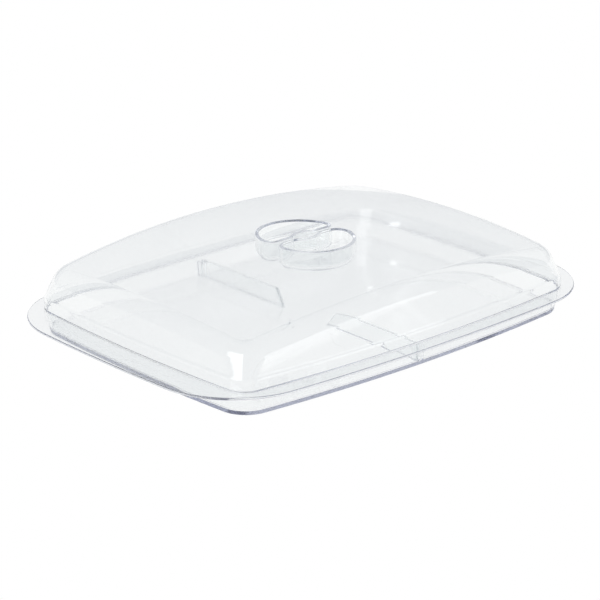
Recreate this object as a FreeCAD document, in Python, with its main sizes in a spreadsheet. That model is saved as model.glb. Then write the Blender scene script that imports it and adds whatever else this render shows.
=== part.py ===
# Clear covered tray: a shallow tray with a carrying rim, a domed cover with a
# recessed pinch grip, and two loose divider plates across the tray.
# Millimetres, +Z up.  The origin is on the underside of the tray, at its middle;
# X runs along the long side.
import FreeCAD, Part
import Sketcher
import math
import os

doc = FreeCAD.newDocument("covered_tray")

# ---------------------------------------------------------------- dimensions
SIZES = [
    ("flangeHalfLength", 225.0, "middle of the tray to the end of a carrying rim"),
    ("flangeHalfWidth", 160.5, "middle of the tray to the edge of the side rim"),
    ("flangeCorner", 78.0, "corner radius of the rim in plan"),
    ("flangeBow", 2000.0, "radius of the slightly bowed rim edges"),
    ("flangeThick", 2.2, "thickness of the rim"),
    ("flangeRound", 0.8, "edge round of the rim"),
    ("trayHeight", 22.0, "underside of the tray to the top of the rim"),
    ("floorThick", 3.2, "thickness of the tray floor"),
    ("trayWall", 2.4, "thickness of the tray wall"),
    ("baseHalfLength", 192.5, "tray wall at the underside, half length"),
    ("baseHalfWidth", 143.6, "tray wall at the underside, half width"),
    ("baseCorner", 26.5, "corner radius of the tray at the underside"),
    ("mouthHalfLength", 194.3, "tray wall at the rim, half length"),
    ("mouthHalfWidth", 145.7, "tray wall at the rim, half width"),
    ("mouthCorner", 22.0, "corner radius of the tray at the rim"),
    ("sideBow", 1580.0, "radius of the bowed sides of tray and cover"),
    ("baseRound", 1.2, "outer round between wall and underside"),
    ("floorRound", 2.6, "inner round between wall and floor"),
    ("mouthRound", 0.9, "round at the mouth of the tray"),
    ("coverHalfLength", 194.9, "skirt of the cover, half length"),
    ("coverHalfWidth", 145.9, "skirt of the cover, half width"),
    ("coverCorner", 20.0, "corner radius of the skirt"),
    ("coverWall", 2.4, "wall thickness of the cover"),
    ("skirtHeight", 11.2, "height of the upright skirt"),
    ("ledge", 1.2, "step from the skirt in to the dome wall"),
    ("roofHalfLength", 184.3, "dome wall at the height of the crown, half length"),
    ("roofHalfWidth", 135.3, "dome wall at the height of the crown, half width"),
    ("roofCorner", 48.0, "corner radius of the dome wall at that height"),
    ("totalHeight", 79.0, "underside of the tray to the top of the dome"),
    ("crownRadius", 1060.0, "radius of the domed roof"),
    ("shoulderRound", 22.0, "round between dome wall and roof"),
    ("wellHalfLength", 37.5, "half size of the round recess along X"),
    ("wellHalfWidth", 44.5, "half size of the round recess along Y"),
    ("wellDepth", 19.0, "top of the dome to the floor of a finger well"),
    ("wellCorner", 9.0, "corner radius where the bar meets the recess"),
    ("wellFloorRound", 4.0, "round between the floor and wall of a well"),
    ("wellRimRound", 0.8, "round at the mouth of a well"),
    ("barHalfWidth", 4.2, "half width of the pinch bar beside its swelling"),
    ("swellHalfWidth", 9.5, "half width of the bar at the middle of its swelling"),
    ("swellRadius", 21.0, "radius of the swelling's two flanks"),
    ("swellBlend", 9.0, "radius where a flank of the swelling runs out"),
    ("plateThick", 2.4, "thickness of a divider plate"),
    ("plateOuter", 138.5, "middle of the tray to the outer end of a plate"),
    ("plateInnerFoot", 28.0, "middle of the tray to the foot of the slant"),
    ("plateInnerTop", 37.0, "middle of the tray to the top of the slant"),
    ("plateTop", 18.5, "underside of the tray to the top of a plate"),
    ("plateRound", 2.0, "round at the upper corners of a plate"),
    ("grooveDepth", 0.6, "depth of the groove in the floor"),
    ("plateGap", 0.3, "air on each side of a plate"),
    ("guideThick", 1.8, "thickness of a guide rib on the tray wall"),
    ("guideInner", 134.0, "middle of the tray to the inner end of a guide"),
    ("guideOuter", 144.0, "middle of the tray to where a guide ends in the wall"),
    ("guideTop", 16.5, "underside of the tray to the top of a guide"),
    ("gateX", -17.8, "place of the gate mark along X"),
    ("gateRadius", 1.3, "radius of the gate mark"),
    ("gateHeight", 0.5, "height of the gate mark above the floor"),
]

dims = doc.addObject("Spreadsheet::Sheet", "dims")
for row, (word, number, meaning) in enumerate(SIZES, start=1):
    dims.set("A%d" % row, word)
    dims.set("B%d" % row, str(number))
    dims.set("C%d" % row, meaning)
    dims.setAlias("B%d" % row, word)
doc.recompute()


def size(word):
    """The number in the sheet's cell of that name."""
    return float(getattr(dims, word))


def bind(item, **expressions):
    """Tie properties of an object to expressions on the sheet."""
    for name, expression in expressions.items():
        item.setExpression(name, expression)
    return item


# ------------------------------------------------------------ bowed outlines
def cornerCentre(length, width, corner, bow):
    """Centre of the corner arc that touches a long and a short bowed side."""
    shortX = length - bow
    longY = width - bow
    reach = bow - corner
    slope = shortX / longY
    offset = (longY ** 2 - shortX ** 2) / (2 * longY) - longY
    a = 1 + slope ** 2
    b = 2 * slope * offset
    c = offset ** 2 - reach ** 2
    x = (-b + math.sqrt(b * b - 4 * a * c)) / (2 * a)
    return x, slope * x + offset + longY


def arc(x, y, radius, start, end):
    circle = Part.Circle(FreeCAD.Vector(x, y, 0), FreeCAD.Vector(0, 0, 1), radius)
    return Part.ArcOfCircle(circle, start, end)


def bowedOutline(sketch, prefix, bow, inset="0"):
    """A rectangle with bowed sides and round corners, as eight tangent arcs.

    prefix names the cells HalfLength, HalfWidth and Corner; inset is an
    expression for how far the outline lies inside them.
    """
    half = "dims.%sHalfLength - (%s)" % (prefix, inset)
    wide = "dims.%sHalfWidth - (%s)" % (prefix, inset)
    corner = "dims.%sCorner - (%s)" % (prefix, inset)
    sides = "dims.%s - (%s)" % (bow, inset)
    inward = float(dims.evalExpression(inset)) if inset != "0" else 0.0
    length = size(prefix + "HalfLength") - inward
    width = size(prefix + "HalfWidth") - inward
    radius = size(prefix + "Corner") - inward
    sweep = size(bow) - inward

    x, y = cornerCentre(length, width, radius, sweep)
    low = math.atan2(y, x - (length - sweep))
    high = math.atan2(y - (width - sweep), x)
    turn = math.pi
    arcs = [
        arc(length - sweep, 0, sweep, -low, low),
        arc(x, y, radius, low, high),
        arc(0, width - sweep, sweep, high, turn - high),
        arc(-x, y, radius, turn - high, turn - low),
        arc(sweep - length, 0, sweep, turn - low, turn + low),
        arc(-x, -y, radius, turn + low, turn + high),
        arc(0, sweep - width, sweep, turn + high, 2 * turn - high),
        arc(x, -y, radius, -high, -low),
    ]
    sketch.addGeometry(arcs, False)
    count = len(arcs)
    origin, xAxis, yAxis = -1, -1, -2
    for i in range(count):
        sketch.addConstraint(Sketcher.Constraint("Tangent", i, 2, (i + 1) % count, 1))
    for i in (0, 4):
        sketch.addConstraint(Sketcher.Constraint("PointOnObject", i, 3, xAxis))
    for i in (2, 6):
        sketch.addConstraint(Sketcher.Constraint("PointOnObject", i, 3, yAxis))
    for i in (2, 4, 6):
        sketch.addConstraint(Sketcher.Constraint("Equal", 0, i))
    for i in (3, 5, 7):
        sketch.addConstraint(Sketcher.Constraint("Equal", 1, i))
    measured = [
        (Sketcher.Constraint("Radius", 0, sweep), sides),
        (Sketcher.Constraint("Radius", 1, radius), corner),
        (Sketcher.Constraint("DistanceX", 0, 3, origin, 1, sweep - length),
         "(%s) - (%s)" % (sides, half)),
        (Sketcher.Constraint("DistanceX", origin, 1, 4, 3, sweep - length),
         "(%s) - (%s)" % (sides, half)),
        (Sketcher.Constraint("DistanceY", 2, 3, origin, 1, sweep - width),
         "(%s) - (%s)" % (sides, wide)),
        (Sketcher.Constraint("DistanceY", origin, 1, 6, 3, sweep - width),
         "(%s) - (%s)" % (sides, wide)),
    ]
    for constraint, expression in measured:
        index = sketch.addConstraint(constraint)
        sketch.setExpression("Constraints[%d]" % index, expression)


# ------------------------------------------------------------------- helpers
def plane(body, role):
    return next(item for item in body.Origin.OriginFeatures if item.Role == role)


def newSketch(body, name, role, height="0"):
    """A sketch on one of the body's own planes, moved along its normal."""
    sketch = body.newObject("Sketcher::SketchObject", name)
    sketch.AttachmentSupport = (plane(body, role), [""])
    sketch.MapMode = "FlatFace"
    if height != "0":
        sketch.setExpression("AttachmentOffset.Base.z", height)
    return sketch


def bowedSketch(body, name, prefix, bow, height, inset="0"):
    sketch = newSketch(body, name, "XY_Plane", height)
    bowedOutline(sketch, prefix, bow, inset)
    return sketch


def roundEdges(body, base, name, radius, wanted):
    """Round the edges of a feature that the test picks out."""
    doc.recompute()
    names = []
    for number, edge in enumerate(base.Shape.Edges, start=1):
        if wanted(edge):
            names.append("Edge%d" % number)
    fillet = body.newObject("PartDesign::Fillet", name)
    fillet.Base = (base, names)
    bind(fillet, Radius="dims." + radius)
    doc.recompute()
    return fillet


def atHeight(edge, height):
    box = edge.BoundBox
    return abs(box.ZMin - height) < 0.01 and abs(box.ZMax - height) < 0.01


def addBox(body, kind, name, place, extent):
    """A box feature: place is its low corner, extent its three sides."""
    box = body.newObject("PartDesign::%sBox" % kind, name)
    box.AttachmentSupport = (plane(body, "XY_Plane"), [""])
    box.MapMode = "FlatFace"
    for axis, expression in zip("xyz", place):
        box.setExpression("AttachmentOffset.Base." + axis, expression)
    for side, expression in zip(("Length", "Width", "Height"), extent):
        box.setExpression(side, expression)
    return box


# ---------------------------------------------------------------------- tray
def makeTray():
    body = doc.addObject("PartDesign::Body", "tray")
    low = bowedSketch(body, "trayFoot", "base", "sideBow", "0")
    high = bowedSketch(body, "trayMouth", "mouth", "sideBow", "dims.trayHeight")
    pan = body.newObject("PartDesign::AdditiveLoft", "pan")
    pan.Profile = high
    pan.Sections = [low]
    pan.Ruled = True
    roundEdges(body, pan, "panRound", "baseRound", lambda edge: atHeight(edge, 0))

    rimUnder = "dims.trayHeight - dims.flangeThick"
    rimLine = bowedSketch(body, "rimOutline", "flange", "flangeBow", rimUnder)
    rim = body.newObject("PartDesign::Pad", "rim")
    rim.Profile = rimLine
    bind(rim, Length="dims.flangeThick")
    outside = size("mouthHalfLength") + 1

    def rimEdge(edge):
        box = edge.BoundBox
        flat = abs(box.ZMax - box.ZMin) < 0.01
        middle = edge.valueAt((edge.FirstParameter + edge.LastParameter) / 2)
        wide = abs(middle.x) > outside or abs(middle.y) > size("mouthHalfWidth") + 1
        return flat and wide and box.ZMin > size("baseRound")

    roundEdges(body, rim, "rimRound", "flangeRound", rimEdge)

    floorLine = bowedSketch(body, "floorOutline", "base", "sideBow",
                            "dims.floorThick", "dims.trayWall")
    mouthLine = bowedSketch(body, "mouthOutline", "mouth", "sideBow",
                            "dims.trayHeight", "dims.trayWall")
    hollow = body.newObject("PartDesign::SubtractiveLoft", "hollow")
    hollow.Profile = mouthLine
    hollow.Sections = [floorLine]
    hollow.Ruled = True
    floorTop = size("floorThick")
    inner = roundEdges(body, hollow, "floorRounds", "floorRound",
                       lambda edge: atHeight(edge, floorTop))

    def mouthEdge(edge):
        middle = edge.valueAt((edge.FirstParameter + edge.LastParameter) / 2)
        inside = abs(middle.x) < outside and abs(middle.y) < size("mouthHalfWidth")
        return atHeight(edge, size("trayHeight")) and inside

    roundEdges(body, inner, "mouthRounds", "mouthRound", mouthEdge)

    # Two upright guide ribs hold each divider plate at the long wall, and a
    # shallow groove in the floor holds its foot.
    guideDepth = "dims.guideOuter - dims.guideInner"
    guideHeight = "dims.guideTop - dims.floorThick / 2"
    slot = "dims.plateThick / 2 + dims.plateGap"
    for side, start in (("Rear", "dims.guideInner"), ("Front", "-dims.guideOuter")):
        for hand, left in (("Left", "-(%s) - dims.guideThick" % slot), ("Right", slot)):
            addBox(body, "Additive", "guide" + side + hand,
                   (left, start, "dims.floorThick / 2"),
                   ("dims.guideThick", guideDepth, guideHeight))
    grooveLength = "dims.plateOuter - dims.plateInnerFoot + 2 * dims.plateGap"
    for side, start in (
        ("Rear", "dims.plateInnerFoot - dims.plateGap"),
        ("Front", "-dims.plateOuter - dims.plateGap"),
    ):
        addBox(body, "Subtractive", "groove" + side,
               ("-(%s)" % slot, start, "dims.floorThick - dims.grooveDepth"),
               ("2 * (%s)" % slot, grooveLength, "2 * dims.grooveDepth"))

    gate = body.newObject("PartDesign::AdditiveCylinder", "gateMark")
    gate.AttachmentSupport = (plane(body, "XY_Plane"), [""])
    gate.MapMode = "FlatFace"
    gate.setExpression("AttachmentOffset.Base.x", "dims.gateX")
    gate.setExpression("AttachmentOffset.Base.z", "dims.floorThick / 2")
    bind(gate, Radius="dims.gateRadius", Height="dims.floorThick / 2 + dims.gateHeight")
    return body


# --------------------------------------------------------------------- cover
def makeDome(name, inset, rimDrop):
    """One closed dome: upright skirt, leaning wall and spherical roof.

    The wall's corners grow rounder towards the roof.  The cover is the outer
    dome less the inner one, so inset is an expression that moves every face in,
    and rimDrop lengthens the inner one below the rim.
    """
    body = doc.addObject("PartDesign::Body", name)
    foot = "dims.trayHeight - (%s)" % rimDrop
    rise = "dims.skirtHeight + (%s) - (%s)" % (rimDrop, inset)
    skirtLine = bowedSketch(body, name + "Skirt", "cover", "sideBow", foot, inset)
    skirt = body.newObject("PartDesign::Pad", name + "SkirtPad")
    skirt.Profile = skirtLine
    bind(skirt, Length=rise)
    wallFoot = bowedSketch(body, name + "WallFoot", "cover", "sideBow",
                           "dims.trayHeight + dims.skirtHeight - (%s)" % inset,
                           "(%s) + dims.ledge" % inset)
    wallTop = bowedSketch(body, name + "WallTop", "roof", "sideBow", "dims.totalHeight", inset)
    wall = body.newObject("PartDesign::AdditiveLoft", name + "WallLoft")
    wall.Profile = wallTop
    wall.Sections = [wallFoot]
    wall.Ruled = True

    # Everything above the spherical crown is turned away.
    crownSketch = newSketch(body, name + "Crown", "XZ_Plane")
    inward = float(dims.evalExpression(inset)) if inset != "0" else 0.0
    radius = size("crownRadius") - inward
    centreZ = size("totalHeight") - size("crownRadius")
    reach = size("flangeHalfLength") + size("flangeHalfWidth")
    top = size("totalHeight") * 2
    edgeZ = centreZ + math.sqrt(radius ** 2 - reach ** 2)
    start = math.atan2(edgeZ - centreZ, reach)
    corners = [(reach, edgeZ), (reach, top), (0, top), (0, centreZ + radius)]
    crownSketch.addGeometry(arc(0, centreZ, radius, start, math.pi / 2), False)
    for one, two in zip(corners[:-1], corners[1:]):
        ends = [FreeCAD.Vector(x, y, 0) for x, y in (one, two)]
        crownSketch.addGeometry(Part.LineSegment(*ends), False)
    origin, yAxis = -1, -2
    for constraint in (
        Sketcher.Constraint("Coincident", 0, 1, 1, 1),
        Sketcher.Constraint("Coincident", 1, 2, 2, 1),
        Sketcher.Constraint("Coincident", 2, 2, 3, 1),
        Sketcher.Constraint("Coincident", 3, 2, 0, 2),
        Sketcher.Constraint("Vertical", 1),
        Sketcher.Constraint("Horizontal", 2),
        Sketcher.Constraint("PointOnObject", 3, 1, yAxis),
        Sketcher.Constraint("PointOnObject", 3, 2, yAxis),
        Sketcher.Constraint("PointOnObject", 0, 3, yAxis),
    ):
        crownSketch.addConstraint(constraint)
    measured = [
        (Sketcher.Constraint("Radius", 0, radius), "dims.crownRadius - (%s)" % inset),
        (Sketcher.Constraint("DistanceY", 0, 3, origin, 1, -centreZ),
         "dims.crownRadius - dims.totalHeight"),
        (Sketcher.Constraint("DistanceX", origin, 1, 1, 1, reach),
         "dims.flangeHalfLength + dims.flangeHalfWidth"),
        (Sketcher.Constraint("DistanceY", origin, 1, 3, 1, top), "2 * dims.totalHeight"),
    ]
    for constraint, expression in measured:
        index = crownSketch.addConstraint(constraint)
        crownSketch.setExpression("Constraints[%d]" % index, expression)
    crown = body.newObject("PartDesign::Groove", name + "CrownCut")
    crown.Profile = crownSketch
    crown.ReferenceAxis = (crownSketch, ["V_Axis"])
    crown.Angle = 360
    doc.recompute()
    if crown.Shape.Volume > wall.Shape.Volume - 1:
        raise RuntimeError(name + ": the crown cut takes nothing away")

    wallMiddle = size("trayHeight") + size("skirtHeight") + size("shoulderRound") / 2

    def shoulder(edge):
        return edge.BoundBox.ZMin > wallMiddle

    roundEdges(body, crown, name + "Shoulder", "shoulderRound - (%s)" % inset, shoulder)
    return body


def combine(kind, label, base, tool):
    item = doc.addObject("Part::" + kind, label)
    item.Base = base
    item.Tool = tool
    return item


def partFillet(base, label, radiusOf):
    """Round edges of a Part object; radiusOf gives an edge's radius, or nothing."""
    doc.recompute()
    item = doc.addObject("Part::Fillet", label)
    item.Base = base
    picks = []
    for number, edge in enumerate(base.Shape.Edges, start=1):
        radius = radiusOf(edge)
        if radius:
            picks.append((number, radius, radius))
    item.Edges = picks
    doc.recompute()
    return item


def makeBar(label, grow):
    """The pinch bar as a block: a slab with a lens-shaped swelling at its middle.

    The two wells lie on its two sides, so growing the wells makes it thinner.
    """
    half = "(dims.barHalfWidth - (%s))" % grow
    slab = doc.addObject("Part::Box", label + "Slab")
    bind(slab, Length="4 * dims.wellHalfLength", Width="2 * " + half,
         Height="2 * dims.totalHeight")
    slab.setExpression("Placement.Base.x", "-2 * dims.wellHalfLength")
    slab.setExpression("Placement.Base.y", "-" + half)
    flanks = []
    for side, sign in (("Rear", "1"), ("Front", "-1")):
        flank = doc.addObject("Part::Cylinder", label + "Flank" + side)
        bind(flank, Radius="dims.swellRadius - (%s)" % grow,
             Height="2 * dims.totalHeight")
        flank.setExpression("Placement.Base.y",
                            "(dims.swellHalfWidth - dims.swellRadius) * " + sign)
        flanks.append(flank)
    swelling = combine("Common", label + "Swelling", *flanks)
    return combine("Fuse", label + "Bar", slab, swelling)


def makeWells(label, grow, low, high):
    """The two finger wells as solid plugs: an oval cut in two by the pinch bar.

    grow moves every side out, and low and high are the plugs' two levels.
    """
    oval = doc.addObject("Part::Ellipse", label + "Oval")
    bind(oval, MajorRadius="dims.wellHalfWidth + (%s)" % grow,
         MinorRadius="dims.wellHalfLength + (%s)" % grow)
    oval.Placement.Rotation = FreeCAD.Rotation(FreeCAD.Vector(0, 0, 1), 90)
    oval.setExpression("Placement.Base.z", low)
    block = doc.addObject("Part::Extrusion", label + "Block")
    block.Base = oval
    block.DirMode = "Custom"
    block.Dir = FreeCAD.Vector(0, 0, 1)
    block.Solid = True
    bind(block, LengthFwd="(%s) - (%s)" % (high, low))
    plugs = combine("Cut", label + "Halves", block, makeBar(label, grow))
    grown = float(dims.evalExpression(grow)) if grow != "0" else 0.0
    bottom = float(dims.evalExpression(low))

    def cornerRadius(edge):
        box = edge.BoundBox
        straight = box.XMax - box.XMin < 0.01 and box.YMax - box.YMin < 0.01
        besideBar = abs(box.YMin) < size("swellHalfWidth")
        if not straight or not besideBar or box.ZMax - box.ZMin < 1:
            return None
        besideSwelling = abs(box.XMin) < size("wellHalfLength") / 2
        return grown + size("swellBlend" if besideSwelling else "wellCorner")

    def floorRadius(edge):
        return size("wellFloorRound") + grown if atHeight(edge, bottom) else None

    corners = partFillet(plugs, label + "Corners", cornerRadius)
    return partFillet(corners, label + "Floor", floorRadius)


def makeCover():
    outer = makeDome("domeOutside", "0", "0")
    inner = makeDome("domeInside", "dims.coverWall", "1")
    shell = combine("Cut", "shell", outer, inner)

    # The cups hang under the roof; their tops end inside its thickness.
    wellFloor = "dims.totalHeight - dims.wellDepth"
    cups = makeWells("cups", "dims.coverWall", wellFloor + " - dims.coverWall",
                     "dims.totalHeight - dims.coverWall + 0.4")
    pockets = makeWells("pockets", "0", wellFloor, "dims.totalHeight + 5")
    joined = combine("Fuse", "joined", shell, cups)
    hollowed = combine("Cut", "hollowed", joined, pockets)

    def mouthRadius(edge):
        middle = edge.valueAt((edge.FirstParameter + edge.LastParameter) / 2)
        near = math.hypot(middle.x, middle.y) < size("wellHalfWidth") + 1
        onRoof = edge.BoundBox.ZMin > size("totalHeight") - size("coverWall") + 0.5
        return size("wellRimRound") if near and onRoof else None

    return partFillet(hollowed, "cover", mouthRadius)


# ------------------------------------------------------------ divider plates
def makePlate(label, turn):
    """An upright plate across half the tray, with a slanted inner end."""
    body = doc.addObject("PartDesign::Body", label)
    sketch = newSketch(body, label + "Outline", "YZ_Plane")
    foot = size("floorThick") - size("grooveDepth")
    corners = [
        (size("plateInnerFoot"), foot),
        (size("plateOuter"), foot),
        (size("plateOuter"), size("plateTop")),
        (size("plateInnerTop"), size("plateTop")),
    ]
    for one, two in zip(corners, corners[1:] + corners[:1]):
        ends = [FreeCAD.Vector(x, y, 0) for x, y in (one, two)]
        sketch.addGeometry(Part.LineSegment(*ends), False)
    origin = -1
    for i in range(len(corners)):
        nextOne = (i + 1) % len(corners)
        sketch.addConstraint(Sketcher.Constraint("Coincident", i, 2, nextOne, 1))
    for constraint in (
        Sketcher.Constraint("Horizontal", 0),
        Sketcher.Constraint("Vertical", 1),
        Sketcher.Constraint("Horizontal", 2),
    ):
        sketch.addConstraint(constraint)
    measured = [
        (Sketcher.Constraint("DistanceX", origin, 1, 0, 1, corners[0][0]),
         "dims.plateInnerFoot"),
        (Sketcher.Constraint("DistanceY", origin, 1, 0, 1, foot),
         "dims.floorThick - dims.grooveDepth"),
        (Sketcher.Constraint("DistanceX", origin, 1, 1, 1, corners[1][0]),
         "dims.plateOuter"),
        (Sketcher.Constraint("DistanceY", origin, 1, 2, 1, corners[2][1]),
         "dims.plateTop"),
        (Sketcher.Constraint("DistanceX", origin, 1, 3, 1, corners[3][0]),
         "dims.plateInnerTop"),
    ]
    for constraint, expression in measured:
        index = sketch.addConstraint(constraint)
        sketch.setExpression("Constraints[%d]" % index, expression)
    pad = body.newObject("PartDesign::Pad", label + "Pad")
    pad.Profile = sketch
    pad.Midplane = True
    bind(pad, Length="dims.plateThick")
    top = size("plateTop")

    def upperCorner(edge):
        box = edge.BoundBox
        across = box.XMax - box.XMin > size("plateThick") / 2
        return across and atHeight(edge, top)

    roundEdges(body, pad, label + "Round", "plateRound", upperCorner)
    body.Placement.Rotation = FreeCAD.Rotation(FreeCAD.Vector(0, 0, 1), turn)
    return body


# -------------------------------------------------------------------- output
pieces = {
    "tray": makeTray(),
    "cover": makeCover(),
    "divider_rear": makePlate("divider_rear", 0),
    "divider_front": makePlate("divider_front", 180),
}
doc.recompute()

for item in doc.Objects:
    if "Invalid" in item.State or "Error" in item.State:
        raise RuntimeError("%s did not recompute: %s" % (item.Name, item.State))
for name, item in pieces.items():
    item.Label = name
    shape = item.Shape
    if shape.isNull() or not shape.isValid() or len(shape.Solids) != 1:
        raise RuntimeError("%s is not one valid solid" % name)

os.makedirs("parts", exist_ok=True)
for name, item in pieces.items():
    shape = item.Shape
    shape.exportStep(os.path.join("parts", name + ".step"))
    box = shape.optimalBoundingBox(False, False)
    print("%-14s %9.0f mm3   %.1f x %.1f x %.1f mm, z %.1f to %.1f" % (
        name, shape.Volume, box.XLength, box.YLength, box.ZLength, box.ZMin, box.ZMax))
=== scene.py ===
# A clear moulded tray under a domed cover, with two loose divider plates.
import bpy
import bmesh
import math
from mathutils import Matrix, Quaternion, Vector


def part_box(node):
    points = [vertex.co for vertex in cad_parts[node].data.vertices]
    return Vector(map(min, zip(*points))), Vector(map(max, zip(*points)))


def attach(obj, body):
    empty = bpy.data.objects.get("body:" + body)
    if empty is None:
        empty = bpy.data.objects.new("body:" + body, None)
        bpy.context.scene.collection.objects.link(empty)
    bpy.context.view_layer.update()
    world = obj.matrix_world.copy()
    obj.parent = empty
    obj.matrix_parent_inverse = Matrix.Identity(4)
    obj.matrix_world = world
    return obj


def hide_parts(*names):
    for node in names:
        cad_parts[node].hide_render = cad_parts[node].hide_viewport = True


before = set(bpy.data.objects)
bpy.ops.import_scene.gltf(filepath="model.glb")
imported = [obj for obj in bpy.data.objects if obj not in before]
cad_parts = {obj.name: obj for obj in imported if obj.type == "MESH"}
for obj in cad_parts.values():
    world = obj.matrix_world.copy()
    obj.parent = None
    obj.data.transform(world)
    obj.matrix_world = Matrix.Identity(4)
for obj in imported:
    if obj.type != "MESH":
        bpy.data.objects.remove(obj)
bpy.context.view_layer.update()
metre = 1000      # pieces are modelled in millimetres and scaled at the end
seatGap = 0.05    # air between faces that rest on each other
tolerance = 0.01  # places this close count as the same
mergeReach = 0.0005
sharpAngle = math.radians(35)


# Materials

def hexToLinear(code):
    # sRGB hex to the linear colour that sockets take
    parts = [int(code[i:i + 2], 16) / 255 for i in (1, 3, 5)]
    return (*[p / 12.92 if p <= 0.04045 else ((p + 0.055) / 1.055) ** 2.4 for p in parts], 1.0)


def addNode(tree, kind, values=None, links=None, **settings):
    node = tree.nodes.new("ShaderNode" + kind)
    for name, value in settings.items():
        setattr(node, name, value)
    for socket, value in (values or {}).items():
        node.inputs[socket].default_value = value
    for socket, source in (links or {}).items():
        tree.links.new(source, node.inputs[socket])
    return node


def emptyTree(item):
    item.use_nodes = True
    item.node_tree.nodes.clear()
    return item.node_tree


# Injection-moulded polycarbonate, polished mould: colourless in a thin wall, lilac where
# the eye looks along a sheet, because the plastic holds a trace of blue toner.
clearPlastic = {
    "tint": "#FCFDFD",
    "ior": 1.585,
    "polish": (0.035, 0.065),     # roughness of clean and of handled skin
    "handledMm": 70,             # size of the handled patches
    "handledFrom": (0.45, 0.75),  # heights of their pattern where handling starts and is full
    "sinkMm": 45,                # slow waves that shrinkage leaves in a moulded sheet
    "sinkDepthMm": 0.05,
    "orangePeelMm": 6,           # fine ripple of the skin, drawn coarse enough to show
    "orangePeelDepthMm": 0.0015,
    "tonerDensity": 4.9,         # how fast light takes on the toner's colour, per metre
}


def makeClearPlastic(name, look, toner):
    material = bpy.data.materials.new(name)
    tree = emptyTree(material)
    place = addNode(tree, "TexCoord").outputs["Object"]
    sink = addNode(tree, "TexNoise", {"Scale": metre / look["sinkMm"], "Detail": 1.0},
                   {"Vector": place})
    peel = addNode(tree, "TexNoise", {"Scale": metre / look["orangePeelMm"], "Detail": 2.0},
                   {"Vector": place})
    handled = addNode(tree, "TexNoise", {"Scale": metre / look["handledMm"], "Detail": 3.0},
                      {"Vector": place})
    clean, worn = look["polish"]
    starts, full = look["handledFrom"]
    rough = addNode(tree, "MapRange",
                    {"From Min": starts, "From Max": full, "To Min": clean, "To Max": worn},
                    {"Value": handled.outputs["Fac"]})
    slow = addNode(tree, "Bump", {"Strength": 1.0, "Distance": look["sinkDepthMm"] / metre},
                   {"Height": sink.outputs["Fac"]})
    fine = addNode(tree, "Bump", {"Strength": 1.0, "Distance": look["orangePeelDepthMm"] / metre},
                   {"Height": peel.outputs["Fac"], "Normal": slow.outputs["Normal"]})
    skin = addNode(tree, "BsdfPrincipled",
                   {"Base Color": hexToLinear(look["tint"]), "IOR": look["ior"],
                    "Transmission Weight": 1.0},
                   {"Roughness": rough.outputs["Result"], "Normal": fine.outputs["Normal"]})
    inside = addNode(tree, "VolumeAbsorption",
                     {"Color": hexToLinear(toner), "Density": look["tonerDensity"]})
    addNode(tree, "OutputMaterial", links={"Surface": skin.outputs[0], "Volume": inside.outputs[0]})
    return material


trayPlastic = makeClearPlastic("mouldedPolycarbonateTray", clearPlastic, "#CBCEDE")
coverPlastic = makeClearPlastic("mouldedPolycarbonateCover", clearPlastic, "#CACFDE")
platePlastic = makeClearPlastic("mouldedPolycarbonatePlate", clearPlastic, "#C8D2D8")
print("materials made")


# Outlines in plan: lists of points, each with its outward direction

def arcPoints(centre, radius, start, end, steps, outward=1):
    points = []
    for i in range(steps):
        angle = start + (end - start) * i / steps
        way = Vector((math.cos(angle), math.sin(angle)))
        points.append((Vector(centre) + way * radius, way * outward))
    return points


def bowedOutline(halfLength, halfWidth, corner, bow, sideSteps=26, cornerSteps=22):
    # the corner arc's centre lies where it touches a long and a short bowed side
    shortX, longY = halfLength - bow, halfWidth - bow
    slope = shortX / longY
    offset = (longY ** 2 - shortX ** 2) / (2 * longY) - longY
    a, b, c = 1 + slope ** 2, 2 * slope * offset, offset ** 2 - (bow - corner) ** 2
    x = (-b + math.sqrt(b * b - 4 * a * c)) / (2 * a)
    y = slope * x + offset + longY
    low = math.atan2(y, x - shortX)
    high = math.atan2(y - longY, x)
    halfTurn = math.pi
    return (arcPoints((shortX, 0), bow, -low, low, sideSteps)
            + arcPoints((x, y), corner, low, high, cornerSteps)
            + arcPoints((0, longY), bow, high, halfTurn - high, sideSteps)
            + arcPoints((-x, y), corner, halfTurn - high, halfTurn - low, cornerSteps)
            + arcPoints((-shortX, 0), bow, halfTurn - low, halfTurn + low, sideSteps)
            + arcPoints((-x, -y), corner, halfTurn + low, halfTurn + high, cornerSteps)
            + arcPoints((0, -longY), bow, halfTurn + high, 2 * halfTurn - high, sideSteps)
            + arcPoints((x, -y), corner, 2 * halfTurn - high, 2 * halfTurn - low, cornerSteps))


def level(outline, inset, height):
    return [(p.x - n.x * inset, p.y - n.y * inset, height) for p, n in outline]


# Rings of edges that grow into a shell

def ringEdges(bm, ring):
    return [bm.edges.get(pair) for pair in zip(ring, ring[1:] + ring[:1])]


def firstRing(bm, points):
    ring = bmesh.ops.create_circle(bm, segments=len(points), radius=1)["verts"]
    for vert, point in zip(ring, points):
        vert.co = point
    return ring


def nextRing(bm, ring, points):
    made = bmesh.ops.extrude_edge_only(bm, edges=ringEdges(bm, ring))["geom"]
    fresh = {item for item in made if isinstance(item, bmesh.types.BMVert)}
    following = [next(e.other_vert(v) for e in v.link_edges if e.other_vert(v) in fresh)
                 for v in ring]
    for vert, point in zip(following, points):
        vert.co = point
    return following


def closeRing(bm, ring):
    bmesh.ops.contextual_create(bm, geom=ringEdges(bm, ring))


def fillBetween(bm, rings):
    edges = [edge for ring in rings for edge in ringEdges(bm, ring)]
    bmesh.ops.triangle_fill(bm, use_beauty=True, use_dissolve=False, edges=edges, normal=(0, 0, 1))


def roundEdges(bm, edges, radius, segments=3):
    bmesh.ops.bevel(bm, geom=edges, offset=radius, offset_type="OFFSET",
                    segments=segments, profile=0.5, affect="EDGES", material=-1)


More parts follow.
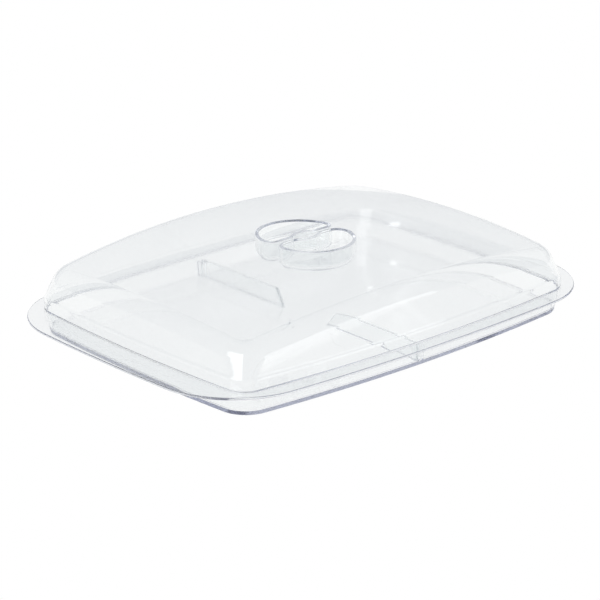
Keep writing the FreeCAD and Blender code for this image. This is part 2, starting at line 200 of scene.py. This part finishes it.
def makeObject(bm, name):
    bmesh.ops.remove_doubles(bm, verts=bm.verts, dist=mergeReach)
    bmesh.ops.recalc_face_normals(bm, faces=bm.faces)
    bmesh.ops.scale(bm, vec=(1 / metre,) * 3, verts=bm.verts)
    for face in bm.faces:
        face.smooth = True
    mesh = bpy.data.meshes.new(name)
    bm.to_mesh(mesh)
    bm.free()
    mesh.set_sharp_from_angle(angle=sharpAngle)
    piece = bpy.data.objects.new(name, mesh)
    bpy.context.scene.collection.objects.link(piece)
    return piece


def dressPiece(piece, node, material):
    piece.data.materials.append(material)
    piece.modifiers.new("flatFacesFlat", "WEIGHTED_NORMAL").keep_sharp = True
    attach(piece, node)
    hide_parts(node)
    print(piece.name, "has", len(piece.data.polygons), "faces")


def boxOf(node):
    low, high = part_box(node)
    return Vector(low) * metre, Vector(high) * metre


# Tray

tray = {
    "flangeCorner": 78, "flangeBow": 2000, "flangeThick": 2.2, "flangeRound": 0.8,
    "wall": 2.4, "floor": 3.2, "sideBow": 1580,
    "foot": (192.5, 143.6, 26.5), "mouth": (194.3, 145.7, 22.0),    # half sizes, corner radius
    "footRound": 1.6, "underRound": 0.7, "mouthRound": 0.9, "floorRound": 2.2,
    "floorMargin": 0.2,    # flat strip between the floor's round and the filled middle
    "grooveHalf": 1.45, "grooveDepth": 0.6, "grooveY": (27.7, 138.8),
    "guideX": (1.55, 3.3), "guideY": (134.0, 144.0), "guideTop": 16.5, "guideRound": 0.4,
    "gate": (-17.8, 0.0), "gateRadius": 1.3, "gateHeight": 0.5, "gateTaper": 0.1,
    "gateSteps": 16,
}


def makeTray(sizes):
    _, high = boxOf("tray")
    flange = bowedOutline(high.x, high.y, sizes["flangeCorner"], sizes["flangeBow"])
    foot = bowedOutline(*sizes["foot"], sizes["sideBow"])
    mouth = bowedOutline(*sizes["mouth"], sizes["sideBow"])

    def wallAt(height):
        return [(p.lerp(q, height / high.z), n) for (p, n), (q, _) in zip(foot, mouth)]

    under = high.z - sizes["flangeThick"]
    wall, floorTop = sizes["wall"], sizes["floor"]
    floorEdge = wall + sizes["floorRound"]
    bm = bmesh.new()
    sole = firstRing(bm, level(foot, floorEdge, 0))
    closeRing(bm, sole)
    heel = nextRing(bm, sole, level(foot, 0, 0))
    root = nextRing(bm, heel, level(wallAt(under), 0, under))
    lip = nextRing(bm, root, level(flange, 0, under))
    edge = nextRing(bm, lip, level(flange, 0, high.z))
    brim = nextRing(bm, edge, level(mouth, wall, high.z))
    basin = nextRing(bm, brim, level(wallAt(floorTop), wall, floorTop))
    floor = nextRing(bm, basin, level(wallAt(floorTop), floorEdge + sizes["floorMargin"], floorTop))

    holes = []
    for side in (1, -1):
        x = sizes["grooveHalf"]
        near, far = (y * side for y in sizes["grooveY"])
        plan = [(-x, near), (x, near), (x, far), (-x, far)]
        groove = firstRing(bm, [(*p, floorTop) for p in plan])
        closeRing(bm, nextRing(bm, groove, [(*p, floorTop - sizes["grooveDepth"]) for p in plan]))
        holes.append(groove)
    mark = arcPoints(sizes["gate"], sizes["gateRadius"], 0, 2 * math.pi, sizes["gateSteps"])
    gate = firstRing(bm, level(mark, 0, floorTop))
    gateTop = nextRing(bm, gate, level(mark, sizes["gateTaper"], floorTop + sizes["gateHeight"]))
    closeRing(bm, gateTop)
    fillBetween(bm, [floor, gate] + holes)
    for ring, radius, segments in ((heel, sizes["footRound"], 4), (root, sizes["underRound"], 3),
                                   (lip, sizes["flangeRound"], 3), (edge, sizes["flangeRound"], 3),
                                   (brim, sizes["mouthRound"], 4), (basin, sizes["floorRound"], 5)):
        roundEdges(bm, ringEdges(bm, ring), radius, segments)
    piece = makeObject(bm, "clear_tray")

    # the guide ribs grow out of floor and wall, so they are fused with them
    ribs = []
    for side in (1, -1):
        for hand in (1, -1):
            bm = bmesh.new()
            bmesh.ops.create_cube(bm, size=1)
            (x0, x1), (y0, y1) = sizes["guideX"], sizes["guideY"]
            z0, z1 = floorTop / 2, sizes["guideTop"]
            bmesh.ops.scale(bm, vec=(x1 - x0, y1 - y0, z1 - z0), verts=bm.verts)
            centre = ((x0 + x1) / 2 * hand, (y0 + y1) / 2 * side, (z0 + z1) / 2)
            bmesh.ops.translate(bm, vec=centre, verts=bm.verts)
            roundEdges(bm, bm.edges[:], sizes["guideRound"], 2)
            ribs.append(makeObject(bm, "rib"))
    for rib in ribs:
        fuse = piece.modifiers.new("fuse", "BOOLEAN")
        fuse.operation = "UNION"
        fuse.solver = "EXACT"
        fuse.object = rib
    graph = bpy.context.evaluated_depsgraph_get()
    fused = bpy.data.meshes.new_from_object(piece.evaluated_get(graph))
    fused.set_sharp_from_angle(angle=sharpAngle)
    piece.modifiers.clear()
    piece.data = fused
    for rib in ribs:
        bpy.data.objects.remove(rib)
    return piece


dressPiece(makeTray(tray), "tray", trayPlastic)


# Cover

cover = {
    "corner": 20, "sideBow": 1580, "wall": 2.4, "skirtHeight": 11.2, "ledge": 1.2,
    "roof": (184.3, 135.3, 48.0),    # half sizes, corner radius of the wall at full height
    "crownRadius": 1060, "shoulder": 17.5,
    "edgeRound": 0.7, "ledgeDrop": 2.4, "ledgeRound": 1.1,
    "thickShift": 0.24,     # about the tangent of half the step's slant: keeps the wall as thick
    "shoulderSteps": 9, "crownSteps": 9,
    "settleSteps": 12,      # rounds in which the shoulder's ball comes to rest
    "islandMargin": 8.0,    # from the wells' oval to the edge of the crown's rings
}
well = {
    "halfLength": 37.5, "halfWidth": 44.5, "depth": 19.0, "corner": 9.0, "floorRound": 4.0,
    "mouthRound": 0.35, "border": 0.8, "barHalf": 4.2, "swellHalf": 9.5, "swellRadius": 21.0,
    "blend": 9.0, "halvings": 40,    # the halvings find where the corner meets the oval
    "swellSteps": 8, "blendSteps": 5, "barSteps": 4, "cornerSteps": 9, "ovalSteps": 17,
    "mouthSteps": 5, "floorSteps": 6,
}


def wellOutline(grip):
    # half of the rear well, from the middle of the bar round to the far end of the oval
    swellY = grip["swellHalf"] - grip["swellRadius"]
    blendY = grip["barHalf"] + grip["blend"]
    blendX = math.sqrt((grip["swellRadius"] + grip["blend"]) ** 2 - (blendY - swellY) ** 2)
    tangent = math.atan2(blendY - swellY, blendX)
    cornerY = grip["barHalf"] + grip["corner"]
    a, b = grip["halfLength"], grip["halfWidth"]

    def ovalPoint(angle):
        return (Vector((a * math.cos(angle), b * math.sin(angle))),
                Vector((math.cos(angle) / a, math.sin(angle) / b)).normalized())

    low, high = 0.0, math.pi / 2
    for _ in range(grip["halvings"]):
        middle = (low + high) / 2
        p, n = ovalPoint(middle)
        if p.y - n.y * grip["corner"] < cornerY:
            low = middle
        else:
            high = middle
    p, n = ovalPoint(low)
    centre = p - n * grip["corner"]
    half = arcPoints((0, swellY), grip["swellRadius"], math.pi / 2, tangent,
                     grip["swellSteps"], outward=-1)
    half += arcPoints((blendX, blendY), grip["blend"], tangent - math.pi, -math.pi / 2,
                      grip["blendSteps"])
    for i in range(grip["barSteps"]):
        x = blendX + (centre.x - blendX) * i / grip["barSteps"]
        half.append((Vector((x, grip["barHalf"])), Vector((0, -1))))
    half += arcPoints(centre, grip["corner"], -math.pi / 2, math.atan2(n.y, n.x),
                      grip["cornerSteps"])
    for i in range(grip["ovalSteps"] + 1):
        half.append(ovalPoint(low + (math.pi / 2 - low) * i / grip["ovalSteps"]))
    mirrored = [(Vector((-p.x, p.y)), Vector((-n.x, n.y))) for p, n in reversed(half[1:-1])]
    return half + mirrored


def makeCover(sizes, grip):
    _, high = boxOf("cover")
    _, trayHigh = boxOf("tray")
    seat = trayHigh.z
    skirtTop = seat + sizes["skirtHeight"]
    crownCentre = high.z - sizes["crownRadius"]
    skirt = bowedOutline(high.x, high.y, sizes["corner"], sizes["sideBow"])
    roof = bowedOutline(*sizes["roof"], sizes["sideBow"])
    margin = sizes["islandMargin"]
    oval = Vector((grip["halfLength"] + margin, grip["halfWidth"] + margin))

    def onCrown(x, y, inset):
        return x, y, crownCentre + math.sqrt((sizes["crownRadius"] - inset) ** 2 - x * x - y * y)

    def shoulderArc(foot, top, out, inset):
        # a ball of the shoulder's radius rolls between the leaning wall and the crown
        radius = sizes["shoulder"] - inset
        up = top - foot
        lean = math.atan2(-up.xy.dot(out), up.z)
        wallWay = Vector((*out * math.cos(lean), math.sin(lean)))
        ball = foot.lerp(top, 0.5) - wallWay * radius
        for _ in range(sizes["settleSteps"]):
            touch = onCrown(ball.x, ball.y, inset + radius)[2] + wallWay.z * radius
            ball = foot.lerp(top, (touch - foot.z) / up.z) - wallWay * radius
        crownWay = (ball - Vector((0, 0, crownCentre))).normalized()
        return [ball + wallWay.slerp(crownWay, i / sizes["shoulderSteps"]) * radius
                for i in range(sizes["shoulderSteps"] + 1)]

    def island(ring, inset):
        points = []
        for point in ring:
            reach = 1 / math.hypot(point.x / oval.x, point.y / oval.y)
            points.append(onCrown(point.x * reach, point.y * reach, inset))
        return points

    def domeRings(inset):
        # from the ledge up over the shoulder and across the crown to the island
        feet = level(skirt, sizes["ledge"] + inset, skirtTop - inset * sizes["thickShift"])
        tops = level(roof, inset, high.z)
        arcs = [shoulderArc(Vector(a), Vector(b), (n + m).normalized(), inset)
                for a, b, (_, n), (_, m) in zip(feet, tops, skirt, roof)]
        rings = [list(ring) for ring in zip(*arcs)]
        start, end = rings[-1], island(rings[-1], inset)
        for i in range(1, sizes["crownSteps"]):
            share = i / sizes["crownSteps"]
            rings.append([onCrown(a[0] + (b[0] - a[0]) * share, a[1] + (b[1] - a[1]) * share, inset)
                          for a, b in zip(start, end)])
        rings.append(end)
        return rings

    def sinkWells(bm, ring, inset, grow, border):
        # both wells hang from the crown; grow moves their sides out
        floorZ = high.z - grip["depth"] - inset
        floorRound = grip["floorRound"] + inset
        mouthRound = grip["mouthRound"]
        borders = [ring]
        for side in (1, -1):
            plan = [(Vector((p.x, p.y * side)), Vector((n.x, n.y * side)))
                    for p, n in wellOutline(grip)]

            def wellRing(offset, drop):
                flat = level(plan, -offset, 0)
                return [Vector(onCrown(x, y, inset)) - Vector((0, 0, drop)) for x, y, _ in flat]

            rim = firstRing(bm, wellRing(grow + mouthRound + border, 0))
            borders.append(rim)
            if border:
                rim = nextRing(bm, rim, wellRing(grow + mouthRound, 0))
            for i in range(1, grip["mouthSteps"] + 1):
                angle = math.pi / 2 * i / grip["mouthSteps"]
                rim = nextRing(bm, rim, wellRing(grow + mouthRound * (1 - math.sin(angle)),
                                                 mouthRound * (1 - math.cos(angle))))
            for i in range(grip["floorSteps"] + 1):
                angle = math.pi / 2 * i / grip["floorSteps"]
                rim = nextRing(bm, rim, level(plan, floorRound * (1 - math.cos(angle)) - grow,
                                              floorZ + floorRound * (1 - math.sin(angle))))
            closeRing(bm, rim)
        fillBetween(bm, borders)

    wall = sizes["wall"]
    bm = bmesh.new()
    outside = domeRings(0)
    inside = domeRings(wall)
    centre = firstRing(bm, outside[-1])
    ring = centre
    for points in reversed(outside[:-1]):
        ring = nextRing(bm, ring, points)
    rounded = []
    within = skirtTop - wall * sizes["thickShift"]
    # inset from the skirt, height and round of each edge, down the outside and up the inside
    section = (
        (sizes["ledge"], skirtTop, sizes["ledgeRound"]),
        (0, skirtTop - sizes["ledgeDrop"], sizes["ledgeRound"]),
        (0, seat + seatGap, sizes["edgeRound"]),
        (wall, seat + seatGap, sizes["edgeRound"]),
        (wall, within - sizes["ledgeDrop"], sizes["ledgeRound"]),
        (wall + sizes["ledge"], within, sizes["ledgeRound"]),
    )
    for inset, height, radius in section:
        ring = nextRing(bm, ring, level(skirt, inset, height))
        rounded.append((ring, radius))
    for points in inside:
        ring = nextRing(bm, ring, points)
    sinkWells(bm, centre, 0, 0, grip["border"])
    sinkWells(bm, ring, wall, wall, 0)
    for edgeRing, radius in rounded:
        roundEdges(bm, ringEdges(bm, edgeRing), radius)
    return makeObject(bm, "clear_cover")


dressPiece(makeCover(cover, well), "cover", coverPlastic)


# Divider plates

plate = {"slant": 9.0, "cornerRound": 2.0, "cornerSteps": 6, "edgeRound": 0.35}


def makePlate(sizes, node):
    low, high = boxOf(node)
    side = 1 if high.y > -low.y else -1
    inner, outer = sorted((abs(low.y), abs(high.y)))
    foot = low.z + seatGap
    bm = bmesh.new()
    plan = [(inner, foot), (outer, foot), (outer, high.z), (inner + sizes["slant"], high.z)]
    face = bmesh.ops.contextual_create(
        bm, geom=[bm.verts.new((low.x, y * side, z)) for y, z in plan])["faces"]
    made = bmesh.ops.extrude_face_region(bm, geom=face)["geom"]
    bmesh.ops.translate(bm, vec=(high.x - low.x, 0, 0),
                        verts=[item for item in made if isinstance(item, bmesh.types.BMVert)])

    def runsThrough(edge):
        # from one flat side of the plate to the other
        return abs(edge.verts[0].co.x - edge.verts[1].co.x) > tolerance

    upper = [edge for edge in bm.edges if runsThrough(edge)
             and all(abs(vert.co.z - high.z) < tolerance for vert in edge.verts)]
    roundEdges(bm, upper, sizes["cornerRound"], sizes["cornerSteps"])
    outline = [edge for edge in bm.edges if not runsThrough(edge)]
    roundEdges(bm, outline, sizes["edgeRound"])
    return makeObject(bm, "clear_" + node)


for node in ("divider_rear", "divider_front"):
    dressPiece(makePlate(plate, node), node, platePlastic)


# Camera

# angles in degrees, lens and sensor in millimetres, the rest in metres
view = {
    "azimuth": -42.05, "elevation": 20.29, "distance": 2.1834, "lens": 150.0, "sensor": 36.0,
    "aim": (0.0005, 0.0075, 0.0159),
}


def placeCamera(setting):
    turn, rise = math.radians(setting["azimuth"]), math.radians(setting["elevation"])
    back = Vector((math.sin(turn) * math.cos(rise), -math.cos(turn) * math.cos(rise),
                   math.sin(rise)))
    data = bpy.data.cameras.new("camera")
    data.lens = setting["lens"]
    data.sensor_width = setting["sensor"]
    camera = bpy.data.objects.new("camera", data)
    bpy.context.scene.collection.objects.link(camera)
    camera.location = Vector(setting["aim"]) + back * setting["distance"]
    camera.rotation_euler = (-back).to_track_quat("-Z", "Y").to_euler()
    bpy.context.scene.camera = camera


placeCamera(view)


# Studio

studio = {
    "roomColour": "#F1F3F6", "roomStrength": 0.86, "paper": 0.8, "floorHalf": 6.0,
    "paperDrop": 0.0005,         # the paper lies this far under the tray
    "aim": (0, 0, 0.05),         # every soft box looks at the middle of the object
    "bounces": 128,              # light runs far along a clear sheet
}
# places and sizes in metres, power in watts, roll in degrees
softBoxes = [
    # main light from the left; it mirrors in the near corner
    {"name": "keyBox", "place": (-1.68, -0.29, 0.9), "size": (1.7, 0.8), "power": 7},
    # low card that draws the bright shape on the near long wall
    {"name": "frontCard", "place": (0.64, -1.2, 0.14), "size": (0.6, 0.3), "power": 0.5},
    # narrow strip and small panes behind, mirrored in the domed roof
    {"name": "backStrip", "place": (1.569, 1.477, 0.79), "size": (0.03, 0.78), "power": 0.017,
     "roll": 2.6},
    {"name": "lowPane", "place": (1.709, 1.504, 0.632), "size": (0.03, 0.07), "power": 0.004},
    {"name": "midPane", "place": (1.55, 1.294, 1.072), "size": (0.02, 0.05), "power": 0.003},
    {"name": "highPane", "place": (1.383, 1.192, 1.31), "size": (0.02, 0.03), "power": 0.002},
]


def makeWorld(setting):
    world = bpy.data.worlds.new("studio")
    bpy.context.scene.world = world
    tree = emptyTree(world)
    rays = addNode(tree, "LightPath")
    white = addNode(tree, "Background", {"Color": (1, 1, 1, 1), "Strength": 1.0})
    room = addNode(tree, "Background",
                   {"Color": hexToLinear(setting["roomColour"]),
                    "Strength": setting["roomStrength"]})
    mix = addNode(tree, "MixShader", links={
        "Fac": rays.outputs["Is Camera Ray"], 1: room.outputs[0], 2: white.outputs[0]})
    addNode(tree, "OutputWorld", links={"Surface": mix.outputs[0]})


def makeFloor(setting):
    # white paper: the eye, a reflection and a look through the plastic all see it white
    material = bpy.data.materials.new("whitePaperSweep")
    tree = emptyTree(material)
    rays = addNode(tree, "LightPath")
    direct = addNode(tree, "Math", operation="MAXIMUM", links={
        0: rays.outputs["Is Camera Ray"], 1: rays.outputs["Is Glossy Ray"]})
    seen = addNode(tree, "Math", operation="MAXIMUM", links={
        0: direct.outputs[0], 1: rays.outputs["Is Transmission Ray"]})
    paper = addNode(tree, "BsdfDiffuse", {"Color": (setting["paper"],) * 3 + (1,)})
    glow = addNode(tree, "Emission", {"Color": (1, 1, 1, 1), "Strength": 1.0})
    mix = addNode(tree, "MixShader", links={
        "Fac": seen.outputs[0], 1: paper.outputs[0], 2: glow.outputs[0]})
    addNode(tree, "OutputMaterial", links={"Surface": mix.outputs[0]})
    bm = bmesh.new()
    bmesh.ops.create_grid(bm, x_segments=1, y_segments=1, size=setting["floorHalf"])
    bmesh.ops.translate(bm, vec=(0, 0, -setting["paperDrop"]), verts=bm.verts)
    mesh = bpy.data.meshes.new("floor")
    bm.to_mesh(mesh)
    bm.free()
    mesh.materials.append(material)
    floor = bpy.data.objects.new("floor", mesh)
    bpy.context.scene.collection.objects.link(floor)


def makeSoftBox(light, aim):
    data = bpy.data.lights.new(light["name"], "AREA")
    data.shape = "RECTANGLE"
    data.size, data.size_y = light["size"]
    data.energy = light["power"]
    lamp = bpy.data.objects.new(light["name"], data)
    bpy.context.scene.collection.objects.link(lamp)
    lamp.location = light["place"]
    turn = (Vector(aim) - Vector(light["place"])).to_track_quat("-Z", "Y")
    roll = Quaternion((0, 0, 1), math.radians(light.get("roll", 0)))
    lamp.rotation_euler = (turn @ roll).to_euler()
    lamp.visible_camera = False


makeWorld(studio)
makeFloor(studio)
for softBox in softBoxes:
    makeSoftBox(softBox, studio["aim"])

scene = bpy.context.scene
scene.view_settings.view_transform = "Standard"
scene.cycles.max_bounces = studio["bounces"]
scene.cycles.transmission_bounces = studio["bounces"]
scene.cycles.glossy_bounces = studio["bounces"]
print("studio made")
